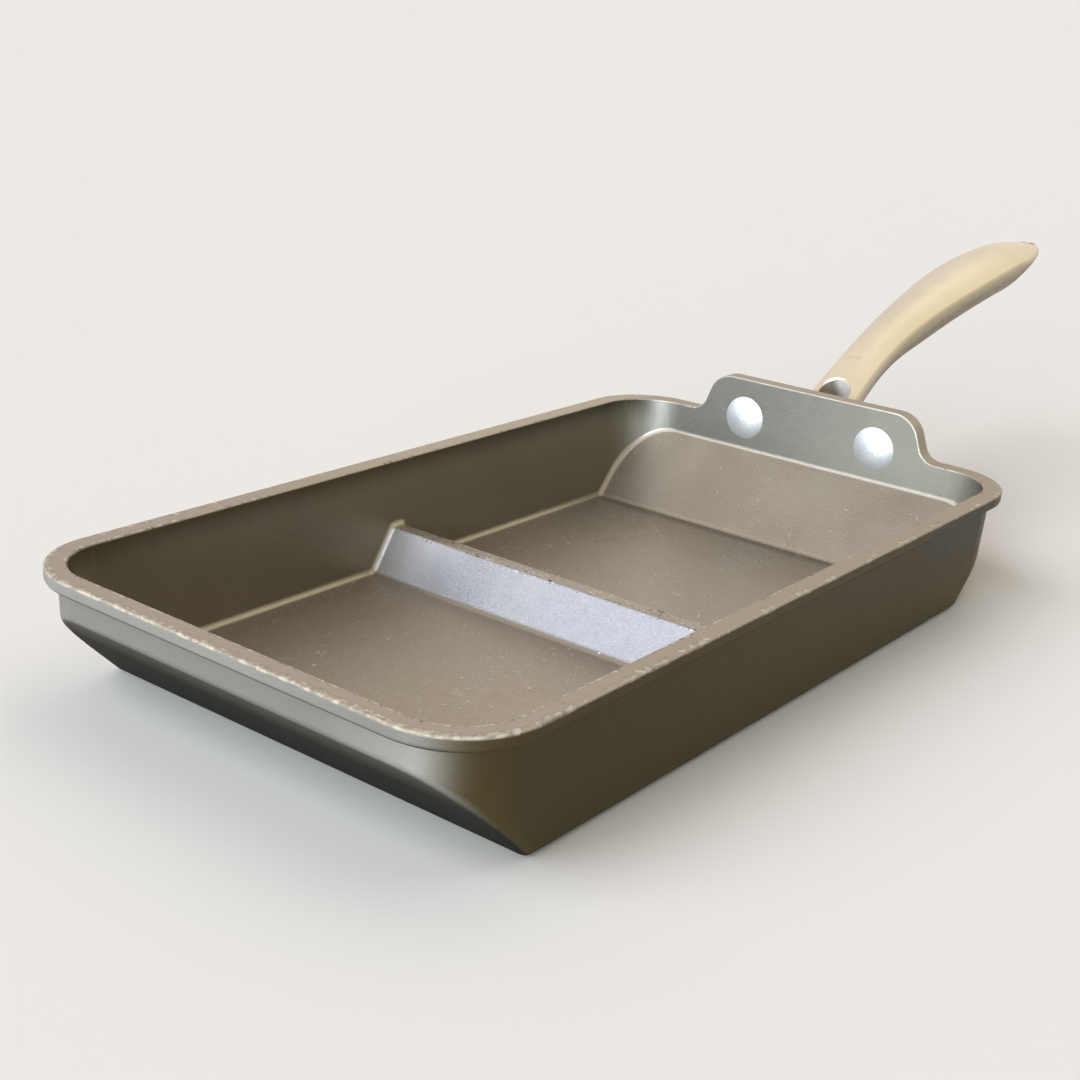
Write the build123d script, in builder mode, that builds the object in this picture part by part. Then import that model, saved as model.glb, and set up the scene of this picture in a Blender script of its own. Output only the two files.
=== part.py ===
"""Two-compartment tamagoyaki pan: cast body, cast handle and two rivets.

Frame: origin on the table under the middle of the pan, X across, +Y towards the handle, Z up.
All sizes are millimetres and degrees.
"""

import os

from math import asin, cos, degrees, radians, sin, tan

from build123d import *

# Rim and walls of the pan
rim_width = 150.0
rim_length = 266.0
pan_height = 36.0
rim_corner_radius = 22.5
rim_overhang = 3.2
rim_depth = 3.9
rim_under_radius = 1.3
rim_edge_radius = 0.5
wall = 2.5
side_draft = 3.2

# Floor, sloping ends and their rounds
floor_thickness = 3.0
slope_height = 24.8
end_slope = 45.0
base_radius = 3.0
inside_radius = 2.0
foot_radius = 3.0

# Ridge between the compartments
ridge_height = 12.6
ridge_crest = 4.6
ridge_width = 22.9
ridge_crest_radius = 1.5

# Raised flange for the handle, and the pad behind it
flange_rise = 14.0
flange_margin = 10.3
flange_spread = 10.0
flange_top_radius = 9.0
flange_foot_radius = 6.0
pad_drop = 11.0
pad_ledge = 7.0
pad_corner_radius = 8.0

# Rivets
rivet_inset = 12.5
rivet_above_rim = 0.6
rivet_shank_radius = 2.5
rivet_head_radius = 7.2
rivet_head_height = 2.4
rivet_tail_radius = 4.6
rivet_tail_height = 1.6
rivet_clearance = 0.05

# Handle: mounting plate, spine of two tangent arcs, grip and hanging tongue
plate_thickness = 3.0
plate_margin = 9.0
plate_edge_radius = 0.8
root_rise = 5.4
root_width = 19.0
root_crown = 4.5
root_belly = 9.0
root_angle = 35.0
neck_bend_radius = 185.0
neck_bend = 18.5
palm_bend_radius = 400.0
palm_bend = 15.0
grip_width = 25.0
grip_crown = 4.3
grip_belly = 12.4
grip_side_radius = 1.6
slot_width = 11.0
slot_reach = 14.5
slot_bevel = 0.6
hang_hole_radius = 3.2

# Sections along the spine: place, half width, crown and belly as shares of the largest
spine_shares = (0.07, 0.17, 0.27, 0.37, 0.47, 0.57, 0.66, 0.76, 0.83, 0.89, 0.93, 0.97, 1.0)
width_shares = (0.69, 0.65, 0.67, 0.74, 0.83, 0.93, 0.99, 1.0, 0.98, 0.94, 0.87, 0.77, 0.64)
crown_shares = (0.67, 0.72, 0.75, 0.79, 0.85, 0.91, 0.97, 1.0, 0.95, 0.85, 0.7, 0.5, 0.33)
belly_shares = (0.9, 0.8, 0.84, 0.96, 1.0, 1.0, 1.0, 1.0, 0.9, 0.5, 0.27, 0.2, 0.17)

# Worked out from the sizes above
rim_land = wall + rim_overhang
overrun = rim_land
slope_run = 1 / tan(radians(end_slope))
wall_top_width = rim_width - 2 * rim_overhang
wall_length = rim_length - 2 * rim_overhang
wall_corner_radius = rim_corner_radius - rim_overhang
base_length = wall_length - 2 * slope_height * slope_run
base_width = wall_top_width - 2 * pan_height * tan(radians(side_draft))
mouth_width = rim_width - 2 * rim_land
mouth_length = rim_length - 2 * rim_land
mouth_corner_radius = rim_corner_radius - rim_land
floor_width = mouth_width - 2 * (pan_height - floor_thickness) * tan(radians(side_draft))
floor_end = base_length / 2 + floor_thickness * slope_run - wall / sin(radians(end_slope))
flange_top = pan_height + flange_rise
flange_back = rim_length / 2
ridge_top = floor_thickness + ridge_height
pad_bottom = pan_height - pad_drop
flange_foot = rim_width / 2 - rim_corner_radius - flange_margin
flange_width = 2 * flange_foot - flange_spread
rivet_spacing = flange_width - 2 * rivet_inset
pad_half = flange_foot + pad_ledge
rivet_height = pan_height + rivet_above_rim
plate_back = flange_back + plate_thickness
head_seat = flange_back - rim_land

os.makedirs("parts", exist_ok=True)


def at(height):
    """Limits that pick what lies at one height."""
    return height - rim_edge_radius, height + rim_edge_radius


def around_foot(solid, length, top):
    """The edges where upright walls meet the floor, ramps or slopes, all the way round."""
    low = solid.edges().filter_by(lambda edge: edge.bounding_box().max.Z < top - rim_edge_radius)
    across = low.filter_by(Axis.X).filter_by_position(Axis.Y, -length / 2, length / 2, (False, False))
    return low - across


# The space inside the pan: drafted sides, square ends, floor with two ramps and the ridge
with BuildPart() as hollow:
    with BuildSketch(Plane.XY.offset(floor_thickness)):
        RectangleRounded(floor_width, mouth_length, mouth_corner_radius)
    with BuildSketch(Plane.XY.offset(pan_height)):
        RectangleRounded(mouth_width, mouth_length, mouth_corner_radius)
    loft(ruled=True)
    with BuildSketch(Plane.YZ) as hollow_profile:
        with BuildLine():
            Polyline(
                (-floor_end - pan_height * slope_run, floor_thickness + pan_height),
                (-floor_end, floor_thickness),
                (-ridge_width / 2, floor_thickness),
                (-ridge_crest / 2, ridge_top),
                (ridge_crest / 2, ridge_top),
                (ridge_width / 2, floor_thickness),
                (floor_end, floor_thickness),
                (floor_end + pan_height * slope_run, floor_thickness + pan_height),
                close=True,
            )
        make_face()
        fillet(hollow_profile.vertices().filter_by_position(Axis.Y, *at(floor_thickness)), foot_radius)
        fillet(hollow_profile.vertices().filter_by_position(Axis.Y, *at(ridge_top)), ridge_crest_radius)
    extrude(amount=rim_width, both=True, mode=Mode.INTERSECT)
    fillet(around_foot(hollow, mouth_length, pan_height), inside_radius)

# The raised flange for the handle and the pad behind it, as deep as the rim is wide
with BuildPart() as flange:
    with BuildSketch(Plane.XY.offset(pad_bottom)):
        RectangleRounded(rim_width, rim_length, rim_corner_radius)
    extrude(amount=flange_top - pad_bottom)
    with BuildSketch(Plane.XZ.offset(-flange_back)) as flange_outline:
        with BuildLine():
            Polyline(
                (-pad_half, pad_bottom),
                (-pad_half, pan_height),
                (-flange_foot, pan_height),
                (-flange_width / 2, flange_top),
                (flange_width / 2, flange_top),
                (flange_foot, pan_height),
                (pad_half, pan_height),
                (pad_half, pad_bottom),
                close=True,
            )
        make_face()
        fillet(flange_outline.vertices().filter_by_position(Axis.Y, *at(pad_bottom)), pad_corner_radius)
        fillet(flange_outline.vertices().filter_by_position(Axis.Y, *at(flange_top)), flange_top_radius)
        fillet(flange_outline.vertices().filter_by_position(Axis.Y, *at(pan_height)).filter_by_position(
            Axis.X, -flange_foot, flange_foot), flange_foot_radius)
    extrude(amount=rim_land, mode=Mode.INTERSECT)

# The outside of the pan below the rim
with BuildPart() as pan_body:
    with BuildSketch(Plane.XY):
        RectangleRounded(base_width, wall_length, wall_corner_radius)
    with BuildSketch(Plane.XY.offset(pan_height)):
        RectangleRounded(wall_top_width, wall_length, wall_corner_radius)
    loft(ruled=True)
    with BuildSketch(Plane.YZ) as outer_profile:
        Trapezoid(base_length + 2 * pan_height * slope_run, pan_height, end_slope, rotation=180,
                  align=(Align.CENTER, Align.MAX))
        fillet(outer_profile.vertices().group_by(Axis.Y)[0], base_radius)
    extrude(amount=rim_width, both=True, mode=Mode.INTERSECT)
    fillet(around_foot(pan_body, wall_length, pan_height), base_radius)
    with BuildSketch(Plane.XY.offset(pan_height - rim_depth)):
        RectangleRounded(rim_width, rim_length, rim_corner_radius)
    extrude(amount=rim_depth)
    rim_under = pan_body.edges().filter_by_position(
        Axis.Z, pan_height - rim_depth, pan_height - rim_depth)
    rim_sides = rim_under.filter_by(lambda edge: edge.bounding_box().max.X > wall_top_width / 2
                                    or edge.bounding_box().max.Y > wall_length / 2
                                    or edge.bounding_box().min.X < -wall_top_width / 2
                                    or edge.bounding_box().min.Y < -wall_length / 2)
    fillet(rim_sides, rim_under_radius)
    add(flange.part)
    add(hollow.part, mode=Mode.SUBTRACT)
    with BuildSketch(Plane.XZ.offset(-flange_back)):
        with Locations((-rivet_spacing / 2, rivet_height), (rivet_spacing / 2, rivet_height)):
            Circle(rivet_shank_radius + rivet_clearance)
    extrude(amount=rim_land + overrun, both=True, mode=Mode.SUBTRACT)
    rim_edges = pan_body.edges().filter_by(
        lambda edge: edge.bounding_box().min.Z > pan_height - rim_edge_radius)
    fillet(rim_edges - rim_edges.filter_by(Axis.Y), rim_edge_radius)
pan_body.part.label = "pan_body"
export_step(pan_body.part, "parts/pan_body.step")

# Handle: grip lofted along a spine of two tangent arcs, forked at the root by an arched slot
with BuildLine(Plane.YZ) as spine:
    neck_arc = JernArc((flange_back + plate_thickness, rivet_height + root_rise),
                       (cos(radians(root_angle)), sin(radians(root_angle))), neck_bend_radius, -neck_bend)
    palm_arc = JernArc(neck_arc @ 1, neck_arc % 1, palm_bend_radius, -palm_bend)
spine_wire = spine.wire()


def across_spine(share):
    """The plane square to the spine at a share of its length, its y axis pointing up."""
    return Plane(origin=spine_wire @ share, x_dir=(-1, 0, 0), z_dir=spine_wire % share)


def oval(half_width, crown, belly):
    """A closed outline of a crowned top arc and a deeper belly arc with rounded sides."""
    with BuildSketch(mode=Mode.PRIVATE) as outline:
        with BuildLine():
            ThreePointArc((-half_width, 0), (0, crown), (half_width, 0))
            EllipticalCenterArc((0, 0), half_width, belly, start_angle=180, arc_size=180)
        make_face()
        fillet(outline.vertices(), grip_side_radius)
    return outline.sketch


slot_plane = Plane(origin=spine_wire @ 0, x_dir=spine_wire % 0, z_dir=across_spine(0).y_dir)

with BuildPart() as handle:
    with BuildSketch(Plane(origin=(0, plate_back - plate_edge_radius, rivet_height),
                           x_dir=(-1, 0, 0), z_dir=(0, 1, 0))):
        add(oval(root_width / 2, root_crown, root_belly))
    for spine_share, width_share, crown_share, belly_share in zip(
            spine_shares, width_shares, crown_shares, belly_shares):
        with BuildSketch(across_spine(spine_share)):
            add(oval(width_share * grip_width / 2, crown_share * grip_crown, belly_share * grip_belly))
    loft()
    with BuildSketch(slot_plane):
        SlotOverall(2 * slot_reach, slot_width)
    extrude(amount=grip_width, both=True, mode=Mode.SUBTRACT)
    slot_rims = handle.edges(Select.LAST).filter_by(GeomType.BSPLINE)
    chamfer(slot_rims.filter_by(lambda edge: edge.center().Y > plate_back), slot_bevel)
    with BuildSketch(across_spine(1)):
        add(oval(width_shares[-1] * grip_width / 2, crown_shares[-1] * grip_crown,
                 belly_shares[-1] * grip_belly))
        split(bisect_by=Plane.YZ, keep=Keep.BOTTOM)
    revolve(axis=Axis(spine_wire @ 1, across_spine(1).y_dir), revolution_arc=180)
    with BuildSketch(Plane(origin=spine_wire @ 1, x_dir=spine_wire % 1, z_dir=across_spine(1).y_dir)):
        Circle(hang_hole_radius)
    extrude(amount=grip_width, both=True, mode=Mode.SUBTRACT)
    with BuildSketch(Plane.XZ.offset(-flange_back)):
        with Locations((0, rivet_height)):
            SlotCenterToCenter(rivet_spacing, 2 * plate_margin)
            with Locations((-rivet_spacing / 2, 0), (rivet_spacing / 2, 0)):
                Circle(rivet_shank_radius + rivet_clearance, mode=Mode.SUBTRACT)
    extrude(amount=-plate_thickness)
    plate_rims = handle.edges().filter_by_position(Axis.Y, plate_back, plate_back)
    plate_ends = plate_rims.filter_by(GeomType.CIRCLE).filter_by(
        lambda edge: edge.radius > plate_margin - plate_edge_radius)
    fillet(plate_rims.filter_by(Axis.X) + plate_ends, plate_edge_radius)
handle.part.label = "handle"
export_step(handle.part, "parts/handle.step")

# Rivets: domed head inside the pan, shank through flange and plate, upset tail behind
def dome(radius, height):
    """Sphere radius and half angle of a shallow dome."""
    sphere_radius = (radius ** 2 + height ** 2) / (2 * height)
    return sphere_radius, degrees(asin(radius / sphere_radius))


head_sphere_radius, head_angle = dome(rivet_head_radius, rivet_head_height)
tail_sphere_radius, tail_angle = dome(rivet_tail_radius, rivet_tail_height)
with BuildPart() as rivet_left:
    with BuildSketch(Plane.YZ.offset(-rivet_spacing / 2)):
        with BuildLine():
            JernArc((head_seat - rivet_head_height, rivet_height), (0, 1), head_sphere_radius, -head_angle)
            Polyline((head_seat, rivet_height + rivet_head_radius),
                     (head_seat, rivet_height + rivet_shank_radius),
                     (plate_back, rivet_height + rivet_shank_radius),
                     (plate_back, rivet_height + rivet_tail_radius))
            JernArc((plate_back + rivet_tail_height, rivet_height), (0, 1), tail_sphere_radius, tail_angle)
            Line((plate_back + rivet_tail_height, rivet_height), (head_seat - rivet_head_height, rivet_height))
        make_face()
    revolve(axis=Axis((-rivet_spacing / 2, 0, rivet_height), (0, 1, 0)))
rivet_left.part.label = "rivet_left"
export_step(rivet_left.part, "parts/rivet_left.step")

with BuildPart() as rivet_right:
    add(rivet_left.part)
    mirror(about=Plane.YZ, mode=Mode.REPLACE)
rivet_right.part.label = "rivet_right"
export_step(rivet_right.part, "parts/rivet_right.step")
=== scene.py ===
from math import cos, pi, radians, sin

import bpy
from mathutils import Matrix, Vector

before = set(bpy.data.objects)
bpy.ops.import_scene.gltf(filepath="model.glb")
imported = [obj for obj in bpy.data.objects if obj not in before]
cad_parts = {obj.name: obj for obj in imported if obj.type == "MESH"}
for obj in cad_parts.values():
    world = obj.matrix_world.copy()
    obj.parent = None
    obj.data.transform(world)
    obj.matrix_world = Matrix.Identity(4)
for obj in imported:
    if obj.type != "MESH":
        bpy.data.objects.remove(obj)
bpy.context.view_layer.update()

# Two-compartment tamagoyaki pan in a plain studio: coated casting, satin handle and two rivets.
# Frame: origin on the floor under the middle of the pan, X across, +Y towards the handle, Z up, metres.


def tint(red, green, blue):
    """A colour written as in an image file, as the linear one that a node takes."""
    return tuple(((c / 255 + 0.055) / 1.055) ** 2.4 if c > 10 else c / 255 / 12.92
                 for c in (red, green, blue)) + (1.0,)


# Camera of the photograph: angles in degrees, distance and target in metres, lens in millimetres
VIEW_AZIMUTH = 37.2231
VIEW_ELEVATION = 19.3850
VIEW_ROLL = 3.6327
VIEW_DISTANCE = 0.437385
VIEW_TARGET = (0.0052245, -0.0239205, 0.0359824)
VIEW_LENS = 54.927
VIEW_NEAREST = 0.01

# Studio: floor and world, as they are seen and as they light the pan
FLOOR_HALF = 100.0
FLOOR_SEEN = tint(240, 232, 221)
FLOOR_UNSEEN = tint(120, 116, 108)
SKY_COLOUR = tint(255, 248, 236)
SKY_SEEN = 0.9
SKY_LIGHT = 0.2

# Lamps: name, azimuth from the front towards the right, elevation, breadth, level and colour
COOL = tint(226, 237, 255)
COOLER = tint(224, 241, 255)
WARM = tint(255, 249, 240)
LAMPS = (
    ("window", -24.0, 39.0, 54.0, 0.88, COOL),
    ("front", 12.0, 4.0, 30.0, 1.7, COOLER),
    ("top_back", 164.0, 55.0, 60.0, 0.18, WARM),
    ("back_left", -135.0, 40.0, 60.0, 0.12, WARM),
)

# Sizes of the casting that the wear follows
RIM_HALF_WIDTH = 0.075
RIM_HALF_LENGTH = 0.133
RIM_CORNER = 0.0225
RIM_LAND = 0.0057
RIM_TOP = 0.036
RIDGE_TOP = 0.0156
RIDGE_HALF_WIDTH = 0.01145
RIDGE_CREST = (0.0035, 0.0030)

# Where one part of the casting gives way to the next, as the two ends of a soft step
INTO_THE_PAN = (0.0056, 0.0062)
OUT_OF_THE_PAN = (0.0062, 0.0056)
WALL_TO_BAND = (RIM_TOP - 0.0045, RIM_TOP - 0.0036)
BAND_TO_TOP = (RIM_TOP - 0.0009, RIM_TOP - 0.0003)
FLANGE_TO_TOP = (RIM_TOP + 0.0012, RIM_TOP + 0.0004)
TOP_TO_FLANGE = (RIM_TOP + 0.0003, RIM_TOP + 0.0012)
RAMP_FOOT_Y = (0.088, 0.092)
RAMP_START_Y = (0.098, 0.102)
REAR_WALL_Y = (0.100, 0.108)

# The same for the upward share of the normal
SLOPE_TO_WALL = (0.45, 0.2)
WALL_TO_SLOPE = (0.45, 0.6)
SLOPE_TO_FLOOR = (0.9, 0.97)
FLOOR_TO_SLOPE = (0.9, 0.8)

# Slot in the handle's root: the slant of the faces outside it, half its width and its two ends
SLOT_RISE = 0.574
SLOT_RUN = 0.819
SLOT_HALF_WIDTH = (0.0060, 0.0057)
SLOT_REAR = (0.154, 0.152)
SLOT_FRONT = (0.1355, 0.1365)

# Colours of the coating, with the light and shade painted on it; a pair is blended by a noise or along an axis
COATING = tint(137, 127, 112), tint(144, 135, 121)
COATING_GRAIN = tint(154, 145, 131)
INNER_WALL = tint(122, 119, 96)
INNER_FLOOR = tint(145, 132, 118), tint(157, 145, 132)
# Painted light: a lighter, greyer coat on the faces turned to the front lamps, varying along X
FRONT_WALL_LIT = tint(147, 145, 138), tint(176, 173, 164)
FRONT_BAND_LIT = tint(163, 161, 155), tint(149, 146, 139)
FLANGE_LIT = tint(135, 131, 121), tint(166, 163, 150)
FLANGE_CORNER_LIT = tint(176, 173, 162)
FLANGE_EDGE = tint(190, 188, 181)
# Painted reflection on the ridge's front, lighter at its left end, with painted shade on part of it
RIDGE_SHEEN = tint(133, 131, 131), tint(206, 203, 202)
RIDGE_SHADE = tint(112, 110, 110)
RIDGE_GRAIN = tint(160, 160, 165)
# Painted shade: a darker coat on the rear ramp, less dark at its left end
RAMP_SHADE = tint(117, 106, 92), tint(126, 116, 102)
RAMP_SHADE_LEFT = tint(134, 122, 108)
# Painted light over the ramp's rounded foot
RAMP_FOOT_LIGHT = tint(165, 154, 138)
WALL_FOOT = tint(170, 161, 134)
# Painted shade on the faces that turn down and on both long outer sides
UNDERSIDE_SHADE = tint(28, 26, 20)
SIDE_SHADE = tint(73, 61, 29), tint(48, 38, 13)
SIDE_SHADE_LOW = tint(82, 70, 32)
# Painted reflection on top of the rim, lighter towards the front and at the far left
LAND_SHEEN = tint(148, 134, 117), tint(155, 141, 129)
LAND_FAR_LEFT_SHEEN = tint(164, 151, 134)

# Colours of the wear and dirt on it, and the painted shade along the chips' edges
SCUFF = tint(200, 197, 188)
MARK = tint(214, 206, 192)
DUST = tint(160, 152, 134)
PALE_SPOT = tint(150, 143, 122)
RUBBED_ROUND = tint(166, 159, 147)
CHIP = tint(152, 138, 120), tint(200, 186, 164)
CHIP_EDGE_SHADE = tint(92, 78, 62)
CREST_BARE = tint(196, 188, 176)
BURNT_CRUMB = tint(64, 50, 34)

# Colours of the handle and the rivets
STEEL = tint(190, 180, 164), tint(198, 188, 171)
# Painted light on the handle: pinker grey on faces turned left, a yellower highlight on faces turned right,
# highlights at root and tip
STEEL_LIT_LEFT = tint(189, 178, 167)
STEEL_HIGHLIGHT_RIGHT = tint(201, 189, 151)
STEEL_HIGHLIGHT_ENDS = tint(214, 203, 184)
STEEL_GRAIN = tint(150, 138, 120)
# Painted shade on the handle's underside
STEEL_SHADE_BELOW = tint(119, 107, 87)
SMUDGE = tint(150, 139, 128)
# Painted light and shade on the walls of the handle's slot
SLOT_WALL_LIT = tint(160, 148, 132), tint(250, 247, 243)
RIVET = tint(206, 208, 209), tint(220, 221, 221)


def towards(azimuth, elevation):
    """Unit vector from the pan to a lamp or the camera, from angles in degrees; azimuth 0 is in front."""
    a, e = radians(azimuth), radians(elevation)
    return Vector((sin(a) * cos(e), -cos(a) * cos(e), sin(e)))


class Nodes:
    """A node tree with one short call for each kind of node that the materials use."""

    def __init__(self, tree):
        self.tree = tree
        self.tree.nodes.clear()

    def add(self, kind, **settings):
        node = self.tree.nodes.new(kind)
        for name, value in settings.items():
            setattr(node, name, value)
        return node

    def feed(self, socket, value):
        if isinstance(value, bpy.types.NodeSocket):
            self.tree.links.new(value, socket)
        else:
            socket.default_value = value

    def math(self, operation, *values):
        node = self.add("ShaderNodeMath", operation=operation)
        for socket, value in zip(node.inputs, values):
            self.feed(socket, value)
        return node.outputs[0]

    def size_of(self, value):
        return self.math("ABSOLUTE", value)

    def plus(self, value, more, share):
        """A value with a share of another added."""
        return self.math("MULTIPLY_ADD", more, share, value)

    def either(self, *masks):
        """The strongest of several masks."""
        strongest = masks[0]
        for mask in masks[1:]:
            strongest = self.math("MAXIMUM", strongest, mask)
        return strongest

    def both(self, *masks):
        """Where all of several masks are."""
        product = masks[0]
        for mask in masks[1:]:
            product = self.math("MULTIPLY", product, mask)
        return product

    def step(self, value, low, high):
        """0 at low, 1 at high and smooth between; low may be the larger."""
        node = self.add("ShaderNodeMapRange", interpolation_type="SMOOTHSTEP")
        self.feed(node.inputs["Value"], value)
        self.feed(node.inputs["From Min"], low)
        self.feed(node.inputs["From Max"], high)
        return node.outputs["Result"]

    def scale(self, value, low, high):
        """0 to 1 becomes low to high."""
        node = self.add("ShaderNodeMapRange")
        self.feed(node.inputs["Value"], value)
        node.inputs["To Min"].default_value = low
        node.inputs["To Max"].default_value = high
        return node.outputs["Result"]

    def blend(self, share, first, second):
        node = self.add("ShaderNodeMix", data_type="RGBA")
        self.feed(node.inputs["Factor"], share)
        self.feed(node.inputs[6], first)
        self.feed(node.inputs[7], second)
        return node.outputs[2]

    def parts(self, vector):
        node = self.add("ShaderNodeSeparateXYZ")
        self.feed(node.inputs[0], vector)
        return node.outputs

    def place(self):
        """The point on the surface, in metres."""
        return self.add("ShaderNodeTexCoord").outputs["Object"]

    def facing(self):
        """The direction that the surface faces."""
        return self.add("ShaderNodeTexCoord").outputs["Normal"]

    def noise(self, size, detail, where=None):
        """Soft noise from 0 to 1 with features about size metres across."""
        node = self.add("ShaderNodeTexNoise")
        self.feed(node.inputs["Vector"], where or self.place())
        node.inputs["Scale"].default_value = 1 / size
        node.inputs["Detail"].default_value = detail
        return node.outputs["Fac"]

    def streaks(self, turn, width, length, least):
        """Fine straight scratches, turned from Y by three angles in degrees."""
        node = self.add("ShaderNodeMapping", vector_type="TEXTURE")
        self.feed(node.inputs["Vector"], self.place())
        node.inputs["Rotation"].default_value = [radians(angle) for angle in turn]
        node.inputs["Scale"].default_value = (1, length / width, 1)
        return self.step(self.noise(width, 1.0, node.outputs["Vector"]), least, least + 0.04)

    def spots(self, spacing, radius, share):
        """Round spots of one size in a share of the cells, scattered at random."""
        node = self.add("ShaderNodeTexVoronoi")
        self.feed(node.inputs["Vector"], self.place())
        node.inputs["Scale"].default_value = 1 / spacing
        chosen = self.math("LESS_THAN", self.parts(node.outputs["Color"])[0], share)
        near = self.step(node.outputs["Distance"], radius / spacing, 0.5 * radius / spacing)
        return self.both(chosen, near)

    def bump(self, height, distance):
        node = self.add("ShaderNodeBump")
        self.feed(node.inputs["Height"], height)
        node.inputs["Distance"].default_value = distance
        node.inputs["Strength"].default_value = 1.0
        return node.outputs["Normal"]

    def principled(self, **inputs):
        """Ends the tree with a Principled shader."""
        shader = self.add("ShaderNodeBsdfPrincipled")
        for name, value in inputs.items():
            self.feed(shader.inputs[name.replace("_", " ")], value)
        output = self.add("ShaderNodeOutputMaterial")
        self.tree.links.new(shader.outputs[0], output.inputs["Surface"])


class Layers(Nodes):
    """Nodes whose colour is painted on in layers, with the place and the normal that masks start from."""

    def __init__(self, tree):
        super().__init__(tree)
        self.x, self.y, self.z = self.parts(self.place())
        self.normal_x, self.normal_y, self.normal_z = self.parts(self.facing())
        self.colour = None

    def paint(self, colour, *masks):
        """A colour over the layers so far, where all of the masks are."""
        self.colour = self.blend(self.both(*masks), self.colour, colour)


class PanCoat(Layers):
    """The pan's coating, its wear, and the light and shade painted on it. Each paint method lays its colours over the
    ones before.
    """

    def __init__(self, tree):
        super().__init__(tree)
        self.grain = self.noise(size=0.0004, detail=1.0)
        self.cloud = self.noise(size=0.025, detail=4.0)
        self.inward = self.inward_of_rim()
        self.sideways = self.size_of(self.normal_x)
        self.inside = self.step(self.inward, *INTO_THE_PAN)
        self.outside = self.step(self.inward, *OUT_OF_THE_PAN)
        self.upright = self.step(self.normal_z, *SLOPE_TO_WALL)
        self.inner_floor = self.both(self.inside, self.step(self.normal_z, *SLOPE_TO_FLOOR))
        self.rim = self.both(self.step(self.z, *BAND_TO_TOP), self.step(self.z, *FLANGE_TO_TOP))

    def inward_of_rim(self):
        """Distance inwards from the rim's outer outline, seen from above."""
        across = self.math("SUBTRACT", self.size_of(self.x), RIM_HALF_WIDTH - RIM_CORNER)
        along = self.math("SUBTRACT", self.size_of(self.y), RIM_HALF_LENGTH - RIM_CORNER)
        corner = self.math("SQRT", self.math("ADD", self.math("POWER", self.math("MAXIMUM", across, 0.0), 2.0),
                                             self.math("POWER", self.math("MAXIMUM", along, 0.0), 2.0)))
        straight = self.math("MINIMUM", self.math("MAXIMUM", across, along), 0.0)
        return self.math("SUBTRACT", RIM_CORNER, self.math("ADD", corner, straight))

    def paint_coating(self):
        """The coat and its grain, a little greener on the inner walls and redder on the floors."""
        self.colour = self.blend(self.step(self.cloud, 0.3, 0.7), *COATING)
        self.paint(COATING_GRAIN, self.step(self.grain, 0.35, 0.75), 0.9)
        self.paint(INNER_WALL, self.inside, self.step(self.sideways, 0.6, 0.9), 0.45)
        self.paint(self.blend(self.step(self.grain, 0.3, 0.7), *INNER_FLOOR), self.inner_floor, 0.6)

    def paint_frontal_faces(self):
        """Painted light on the faces turned to the front lamps: a lighter, greyer coat on the outer end and on the
        flange with the wall under it, varying along X; real scuffs on the flange.
        """
        clouded = self.both(self.scale(self.step(self.noise(size=0.014, detail=4.0), 0.3, 0.7), 0.82, 1.0),
                            self.scale(self.grain, 1.0, 0.85))
        # Painted light on the outer end's wall and band
        wall = self.blend(self.step(self.x, 0.025, 0.060), *FRONT_WALL_LIT)
        band = self.blend(self.step(self.x, 0.0, 0.060), *FRONT_BAND_LIT)
        wall = self.blend(self.step(self.z, *WALL_TO_BAND), wall, band)
        self.paint(wall, self.outside, self.upright, self.step(self.normal_y, -0.55, -0.98), clouded)

        # Painted light on the flange's face, lighter to the right and at its far left
        flange = self.blend(self.step(self.x, -0.045, 0.045), *FLANGE_LIT)
        flange = self.blend(self.step(self.x, -0.050, -0.062), flange, FLANGE_CORNER_LIT)
        rear = self.both(self.upright, self.step(self.y, *REAR_WALL_Y), self.step(self.normal_y, -0.3, -0.7))
        self.paint(flange, rear, clouded)
        scuffs = self.either(self.streaks(turn=(8, 0, 90), width=0.00028, length=0.004, least=0.715),
                             self.streaks(turn=(-14, 0, 90), width=0.0003, length=0.003, least=0.725))
        self.paint(SCUFF, rear, scuffs, self.step(self.noise(size=0.012, detail=2.0), 0.4, 0.55), 0.55)

    def paint_ridge_and_ramp(self):
        """Painted reflection on the ridge's front, a pale grey, with painted light at its left end and painted shade
        left of the middle; painted shade on the rear ramp, a darker brown, and painted light over the ramp's foot.
        """
        ridge = self.both(self.step(self.size_of(self.y), RIDGE_HALF_WIDTH + 0.0005, RIDGE_HALF_WIDTH - 0.001),
                          self.step(self.normal_y, -0.3, -0.6), self.step(self.z, RIDGE_TOP + 0.001, RIDGE_TOP))
        # Painted reflection on the ridge's front, with painted light towards its left end
        lit_ridge = self.blend(self.step(self.x, -0.032, -0.060), *RIDGE_SHEEN)
        # Painted shade over a stretch left of the middle
        shade_stretch = self.both(self.step(self.x, -0.056, -0.042), self.step(self.x, -0.012, -0.032), 0.5)
        lit_ridge = self.blend(shade_stretch, lit_ridge, RIDGE_SHADE)
        fine = self.both(self.step(self.noise(size=0.0005, detail=3.0), 0.35, 0.65), 0.4)
        lit_ridge = self.blend(fine, lit_ridge, RIDGE_GRAIN)
        self.paint(lit_ridge, ridge, self.scale(self.cloud, 0.85, 1.0))

        self.ramp = self.both(self.inside, self.step(self.y, *RAMP_START_Y), self.step(self.normal_z, *WALL_TO_SLOPE))
        # Painted shade on the rear ramp, less dark at its left end
        shaded_ramp = self.blend(self.step(self.cloud, 0.3, 0.7), *RAMP_SHADE)
        shaded_ramp = self.blend(self.step(self.x, -0.048, -0.062), shaded_ramp, RAMP_SHADE_LEFT)
        self.paint(shaded_ramp, self.ramp)
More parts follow.
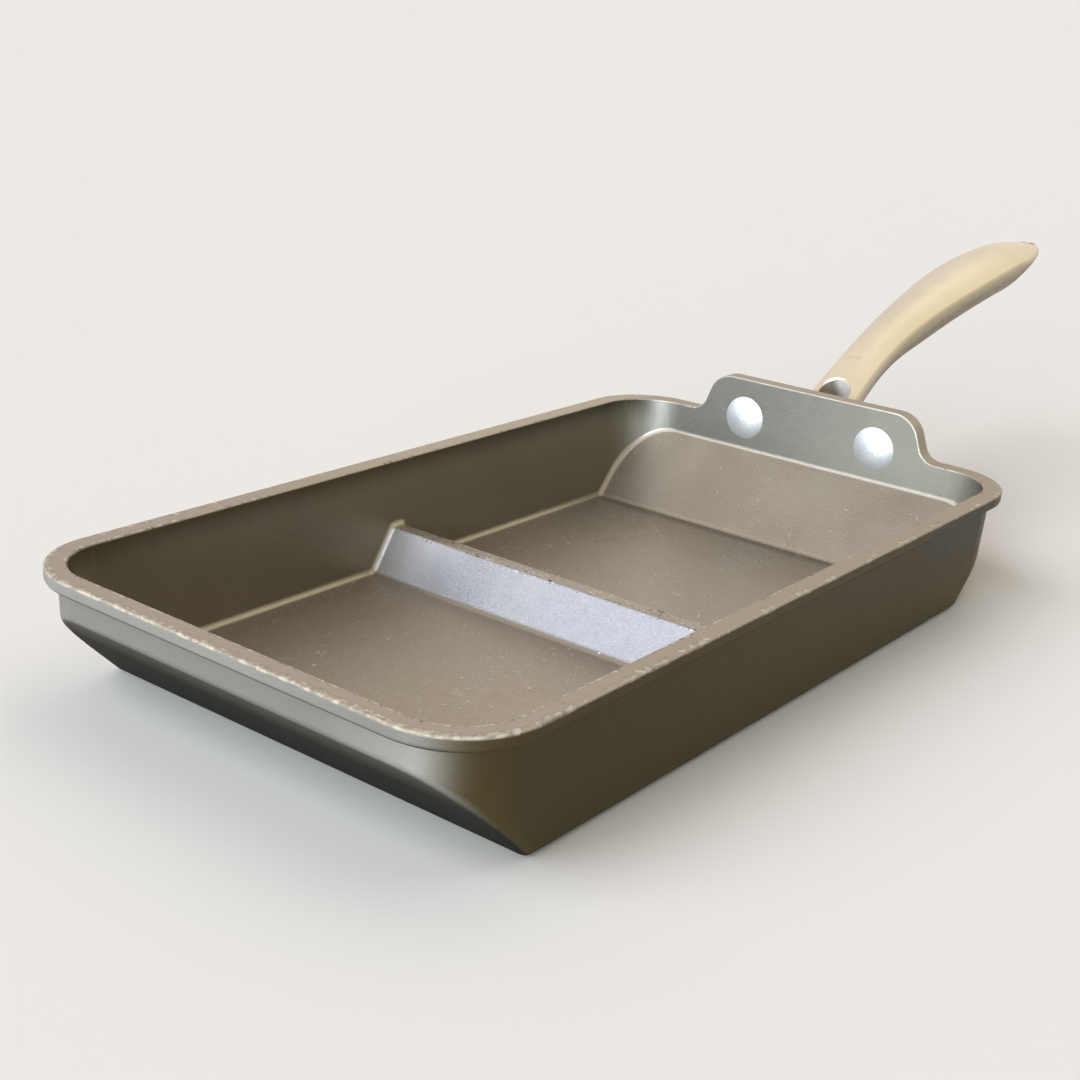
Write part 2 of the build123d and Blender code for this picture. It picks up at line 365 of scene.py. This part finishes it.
        # Painted light over the rounded foot of the ramp
        self.paint(RAMP_FOOT_LIGHT, self.inside, self.step(self.y, *RAMP_FOOT_Y),
                   self.step(self.normal_z, 0.99, 0.95), self.step(self.normal_z, 0.70, 0.78), 0.55)

    def paint_feet_and_outside(self):
        """Rounds at the feet of the inner walls, made lighter; painted shade on the faces that turn down, stronger
        low down, and on both long outer sides, darker towards the back and less dark low down.
        """
        foot = self.step(self.both(self.sideways, self.normal_z), 0.12, 0.4)
        self.paint(WALL_FOOT, foot, 0.55)

        # Painted shade on the faces that turn down, stronger low down
        self.under = self.both(self.step(self.normal_z, -0.15, -0.7),
                               self.scale(self.step(self.z, 0.024, 0.014), 0.82, 1.0))
        self.paint(UNDERSIDE_SHADE, self.under)

        self.side = self.both(self.outside, self.step(self.sideways, 0.15, 0.85),
                              self.step(self.z, RIM_TOP - 0.0002, RIM_TOP - 0.0008))
        # Painted shade on both long outer sides, darker towards the back, less dark low down
        shaded_side = self.blend(self.step(self.y, 0.0, 0.11), *SIDE_SHADE)
        shaded_side = self.blend(self.step(self.z, 0.026, 0.004), shaded_side, SIDE_SHADE_LOW)
        self.paint(shaded_side, self.side, self.scale(self.grain, 0.84, 1.0))

    def paint_marks(self):
        """Scratches, specks and rings on the upper faces inside, dust on the inner walls, spots outside."""
        patchy = self.step(self.noise(size=0.03, detail=2.0), 0.38, 0.54)
        level = self.either(self.streaks(turn=(0, 0, 25), width=0.00036, length=0.006, least=0.715),
                            self.streaks(turn=(0, 0, 118), width=0.00036, length=0.004, least=0.72),
                            self.streaks(turn=(0, 0, 70), width=0.00025, length=0.008, least=0.72))
        slanted = self.either(self.streaks(turn=(12, 0, 78), width=0.00034, length=0.004, least=0.735),
                              self.streaks(turn=(37.5, 0, 40), width=0.00032, length=0.004, least=0.745))
        scratches = self.either(self.both(self.inner_floor, level),
                                self.both(self.step(self.normal_z, *FLOOR_TO_SLOPE), slanted))
        specks = self.both(self.either(self.spots(spacing=0.012, radius=0.0009, share=0.6),
                                       self.spots(spacing=0.006, radius=0.0005, share=0.65)),
                           self.step(self.noise(size=0.0006, detail=3.0), 0.34, 0.52),
                           self.scale(patchy, 0.6, 1.0), self.scale(self.ramp, 1.0, 0.15))
        rings = self.both(self.spots(spacing=0.019, radius=0.0016, share=0.5),
                          self.step(self.spots(spacing=0.019, radius=0.0013, share=0.5), 0.6, 0.2),
                          self.step(self.noise(size=0.001, detail=3.0), 0.35, 0.6))
        self.marks = self.both(self.either(self.both(scratches, patchy), specks, rings),
                               self.step(self.normal_z, *WALL_TO_SLOPE), self.step(self.z, 0.0335, 0.0325))
        self.paint(MARK, self.marks, 0.8)

        self.paint(DUST, self.inside, self.step(self.normal_z, 0.4, 0.2),
                   self.spots(spacing=0.009, radius=0.0005, share=0.5),
                   self.step(self.noise(size=0.0007, detail=3.0), 0.4, 0.6), 0.4)
        self.paint(PALE_SPOT, self.outside, self.step(self.z, 0.031, 0.030),
                   self.spots(spacing=0.012, radius=0.0012, share=0.45),
                   self.step(self.noise(size=0.0009, detail=3.0), 0.4, 0.6), 0.65)

    def paint_rim(self):
        """Painted reflection on top of the rim, a lighter coat, lighter towards the front and at the far left, and
        chips along its edges, most of them near the front, with painted shade along their broken edges.
        """
        self.land = self.both(self.step(self.z, *BAND_TO_TOP), self.step(self.inward, 0.0066, 0.0060),
                              self.step(self.normal_z, 0.6, 0.9))
        # Painted reflection on top of the rim, lighter towards the front and at the far left
        coat = self.blend(self.step(self.y, 0.02, -0.12), *LAND_SHEEN)
        far_left = self.both(self.step(self.x, -0.060, -0.068), self.step(self.y, -0.06, 0.02))
        coat = self.blend(far_left, coat, LAND_FAR_LEFT_SHEEN)
        self.paint(coat, self.land, 0.7)

        right_side = self.both(self.step(self.x, 0.060, 0.072), self.scale(self.step(self.y, 0.02, -0.08), 0.3, 0.8))
        near_corner = self.both(self.step(self.x, 0.015, 0.050), self.step(self.y, -0.10, -0.125))
        front = self.either(self.step(self.y, -0.02, -0.125), right_side, self.both(near_corner, 1.5))
        worn = self.step(self.plus(self.noise(size=0.012, detail=3.0), front, 0.16), 0.48, 0.68)

        outer_edge = self.step(self.inward, 0.0030, 0.0004)
        off_inner_edge = self.size_of(self.math("SUBTRACT", self.inward, RIM_LAND - 0.0003))
        self.inner_edge = self.both(self.step(off_inner_edge, 0.0012, 0.0002), self.step(self.normal_z, 0.15, 0.5))
        closeness = self.both(self.either(outer_edge, self.inner_edge), worn)
        bared = self.both(near_corner, self.step(self.inward, 0.0026, 0.0010),
                          self.step(self.noise(size=0.008, detail=2.0), 0.35, 0.55))
        raw = self.plus(self.noise(size=0.0019, detail=6.0), closeness, self.scale(near_corner, 0.31, 0.38))
        raw = self.plus(raw, bared, 0.10)

        self.paint(RUBBED_ROUND, self.step(self.z, *BAND_TO_TOP), self.step(self.normal_z, 0.97, 0.85),
                   self.step(self.normal_z, 0.1, 0.3), self.scale(worn, 0.25, 1.0), 0.5)
        # Painted shade along the broken edge of each chip
        self.paint(CHIP_EDGE_SHADE, self.rim, self.step(raw, 0.665, 0.69), self.step(raw, 0.72, 0.70),
                   self.step(self.inward, 0.0006, 0.0014), 0.7)
        self.chips = self.both(self.rim, self.step(raw, 0.70, 0.725))
        self.paint(self.blend(self.step(self.noise(size=0.002, detail=2.0), 0.3, 0.7), *CHIP), self.chips)

    def paint_crest(self):
        """Bare patches on the ridge's crest, and burnt crumbs there and along the rim's inner edge."""
        crest = self.both(self.inside, self.step(self.size_of(self.y), *RIDGE_CREST),
                          self.step(self.z, RIDGE_TOP - 0.0012, RIDGE_TOP - 0.0004),
                          self.step(self.z, RIDGE_TOP + 0.0012, RIDGE_TOP + 0.0006),
                          self.step(self.normal_z, 0.3, 0.5))
        bare = self.plus(self.noise(size=0.0011, detail=4.0), self.noise(size=0.012, detail=2.0), 0.3)
        self.paint(CREST_BARE, crest, self.step(bare, 0.76, 0.80), 0.7)
        burnt = self.plus(self.noise(size=0.0009, detail=3.0), self.noise(size=0.009, detail=2.0), 0.4)
        self.paint(BURNT_CRUMB, self.either(crest, self.both(self.rim, self.inner_edge)),
                   self.step(burnt, 0.83, 0.87), 0.85)

    def paint_flange_edge(self):
        """The front edge of the flange, rubbed bright, most on the right."""
        self.paint(FLANGE_EDGE, self.step(self.z, *TOP_TO_FLANGE),
                   self.step(self.normal_y, -0.95, -0.8), self.step(self.normal_y, -0.05, -0.2),
                   self.scale(self.noise(size=0.003, detail=4.0), 0.3, 1.2),
                   self.scale(self.step(self.x, 0.010, 0.035), 0.45, 1.0))

    def finish(self):
        """Gloss, metal and relief: duller where the coat is chipped, on the painted-shade underside and a little on
        the rim's top, and less metallic where it is chipped, on that underside and a little on the painted-shade long
        sides.
        """
        dull = self.either(self.under, self.chips, self.both(self.land, 0.4))
        unmetallic = self.either(self.under, self.chips, self.both(self.side, 0.35))
        height = self.math("SUBTRACT", self.grain, self.marks)
        self.principled(Base_Color=self.colour,
                        Metallic=self.math("MULTIPLY_ADD", unmetallic, -0.55, 0.65),
                        Roughness=self.plus(self.scale(self.noise(size=0.004, detail=3.0), 0.31, 0.43), dull, 0.35),
                        Specular_IOR_Level=0.1,
                        Normal=self.bump(height, 0.00006))


def new_material(name, kind):
    material = bpy.data.materials.new(name)
    material.use_nodes = True
    return material, kind(material.node_tree)


def coated_aluminium():
    """Bronze-grey nonstick coating over a casting, worn bright along its edges, with light and shade painted on it.
    """
    material, coat = new_material("coated_aluminium", PanCoat)
    coat.paint_coating()
    coat.paint_frontal_faces()
    coat.paint_ridge_and_ramp()
    coat.paint_feet_and_outside()
    coat.paint_marks()
    coat.paint_rim()
    coat.paint_crest()
    coat.paint_flange_edge()
    coat.finish()
    return material


def satin_steel():
    """Warm satin of a cast handle, with painted light: a yellower highlight along its right side, a pinker grey on
    its left and highlights at its ends; painted shade underneath and painted light and shade in the slot.
    """
    material, n = new_material("satin_steel", Layers)
    grain = n.noise(size=0.0005, detail=2.0)
    cloud = n.noise(size=0.012, detail=3.0)
    n.colour = n.blend(n.step(cloud, 0.3, 0.7), *STEEL)
    # Painted light by facing: pinker grey to the left, a yellower highlight to the right, highlights at root and tip
    n.paint(STEEL_LIT_LEFT, n.step(n.normal_x, 0.1, -0.5), 0.8)
    n.paint(STEEL_HIGHLIGHT_RIGHT, n.step(n.normal_x, -0.1, 0.6), 0.5)
    n.paint(STEEL_HIGHLIGHT_ENDS, n.either(n.step(n.y, 0.185, 0.150), n.step(n.y, 0.255, 0.290)), 0.6)
    n.paint(STEEL_GRAIN, grain, 0.3)
    n.paint(SMUDGE, n.step(n.noise(size=0.007, detail=2.0), 0.62, 0.74),
            n.step(n.noise(size=0.0022, detail=3.0), 0.4, 0.6), 0.4)
    # Painted shade on the faces that turn down
    n.paint(STEEL_SHADE_BELOW, n.step(n.normal_z, 0.05, -0.45),
            n.scale(n.step(n.noise(size=0.0016, detail=3.0), 0.35, 0.65), 0.7, 1.0))

    # Walls of the slot in the root: painted light, near white, where they face left or along the handle, and painted
    # shade on the wall that faces right; less metallic than the outside
    outwards = n.plus(n.both(n.normal_z, SLOT_RUN), n.normal_y, -SLOT_RISE)
    slot = n.both(n.step(n.size_of(outwards), 0.5, 0.3), n.step(n.size_of(n.x), *SLOT_HALF_WIDTH),
                  n.step(n.y, *SLOT_REAR), n.step(n.y, *SLOT_FRONT))
    n.paint(n.blend(n.step(n.normal_x, 0.6, 0.0), *SLOT_WALL_LIT), slot)
    n.principled(Base_Color=n.colour, Metallic=n.math("MULTIPLY_ADD", slot, -0.6, 1.0),
                 Roughness=n.scale(cloud, 0.36, 0.5), Normal=n.bump(grain, 0.00001))
    return material


def rivet_metal():
    """Pale aluminium of the rivets, a little dulled."""
    material, n = new_material("rivet_metal", Nodes)
    grain = n.noise(size=0.0006, detail=3.0)
    n.principled(Base_Color=n.blend(n.step(grain, 0.3, 0.7), *RIVET), Metallic=0.75,
                 Roughness=n.scale(grain, 0.46, 0.56), Normal=n.bump(grain, 0.00002))
    return material


def seen_or(n, seen, unseen):
    """One value for what the camera, gloss and glass see and another for the light on other surfaces."""
    path = n.add("ShaderNodeLightPath")
    shown = n.either(path.outputs["Is Camera Ray"], path.outputs["Is Glossy Ray"],
                     path.outputs["Is Transmission Ray"])
    return n.blend(shown, unseen, seen)


def floor_finish():
    """Plain pale floor, a little darker to the light that it sends on than to the eye."""
    material, n = new_material("studio_floor", Nodes)
    shader = n.add("ShaderNodeBsdfDiffuse")
    n.feed(shader.inputs["Color"], seen_or(n, FLOOR_SEEN, FLOOR_UNSEEN))
    output = n.add("ShaderNodeOutputMaterial")
    n.tree.links.new(shader.outputs[0], output.inputs["Surface"])
    return material


def make_floor():
    mesh = bpy.data.meshes.new("studio_floor")
    corners = [(-FLOOR_HALF, -FLOOR_HALF, 0), (FLOOR_HALF, -FLOOR_HALF, 0),
               (FLOOR_HALF, FLOOR_HALF, 0), (-FLOOR_HALF, FLOOR_HALF, 0)]
    mesh.from_pydata(corners, [], [(0, 1, 2, 3)])
    mesh.materials.append(floor_finish())
    floor = bpy.data.objects.new("studio_floor", mesh)
    bpy.context.scene.collection.objects.link(floor)


def make_world():
    world = bpy.data.worlds.new("studio")
    world.use_nodes = True
    bpy.context.scene.world = world
    n = Nodes(world.node_tree)
    background = n.add("ShaderNodeBackground")
    background.inputs["Color"].default_value = SKY_COLOUR
    grey = [(level, level, level, 1.0) for level in (SKY_SEEN, SKY_LIGHT)]
    n.feed(background.inputs["Strength"], seen_or(n, *grey))
    output = n.add("ShaderNodeOutputWorld")
    n.tree.links.new(background.outputs[0], output.inputs["Surface"])


def make_lamp(name, azimuth, elevation, breadth, level, colour):
    """A distant soft lamp; at level 1 it lights a surface that faces it as brightly as its colour is written."""
    lamp = bpy.data.lights.new(name, "SUN")
    lamp.angle = radians(breadth)
    lamp.energy = level * pi
    lamp.color = colour[:3]
    holder = bpy.data.objects.new(name, lamp)
    holder.rotation_mode = "QUATERNION"
    holder.rotation_quaternion = towards(azimuth, elevation).to_track_quat("Z", "Y")
    bpy.context.scene.collection.objects.link(holder)


def make_camera():
    """The photograph's camera, from its angles, distance, target and roll."""
    roll = radians(VIEW_ROLL)
    back = towards(VIEW_AZIMUTH, VIEW_ELEVATION)
    right = Vector((cos(radians(VIEW_AZIMUTH)), sin(radians(VIEW_AZIMUTH)), 0))
    up = back.cross(right)
    turned_right = cos(roll) * right + sin(roll) * up
    turned_up = cos(roll) * up - sin(roll) * right
    camera = bpy.data.objects.new("camera", bpy.data.cameras.new("camera"))
    camera.data.lens = VIEW_LENS
    camera.data.clip_start = VIEW_NEAREST
    turn = Matrix((turned_right, turned_up, back)).transposed().to_4x4()
    camera.matrix_world = Matrix.Translation(Vector(VIEW_TARGET) + back * VIEW_DISTANCE) @ turn
    bpy.context.scene.collection.objects.link(camera)
    bpy.context.scene.camera = camera


def dress(material, *nodes):
    """Gives a material to the named nodes of the frame."""
    for node in nodes:
        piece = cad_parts[node]
        piece.data.materials.clear()
        piece.data.materials.append(material)


dress(coated_aluminium(), "pan_body")
dress(satin_steel(), "handle")
dress(rivet_metal(), "rivet_left", "rivet_right")

make_floor()
make_world()
for lamp in LAMPS:
    make_lamp(*lamp)
make_camera()
bpy.context.scene.view_settings.view_transform = "Standard"
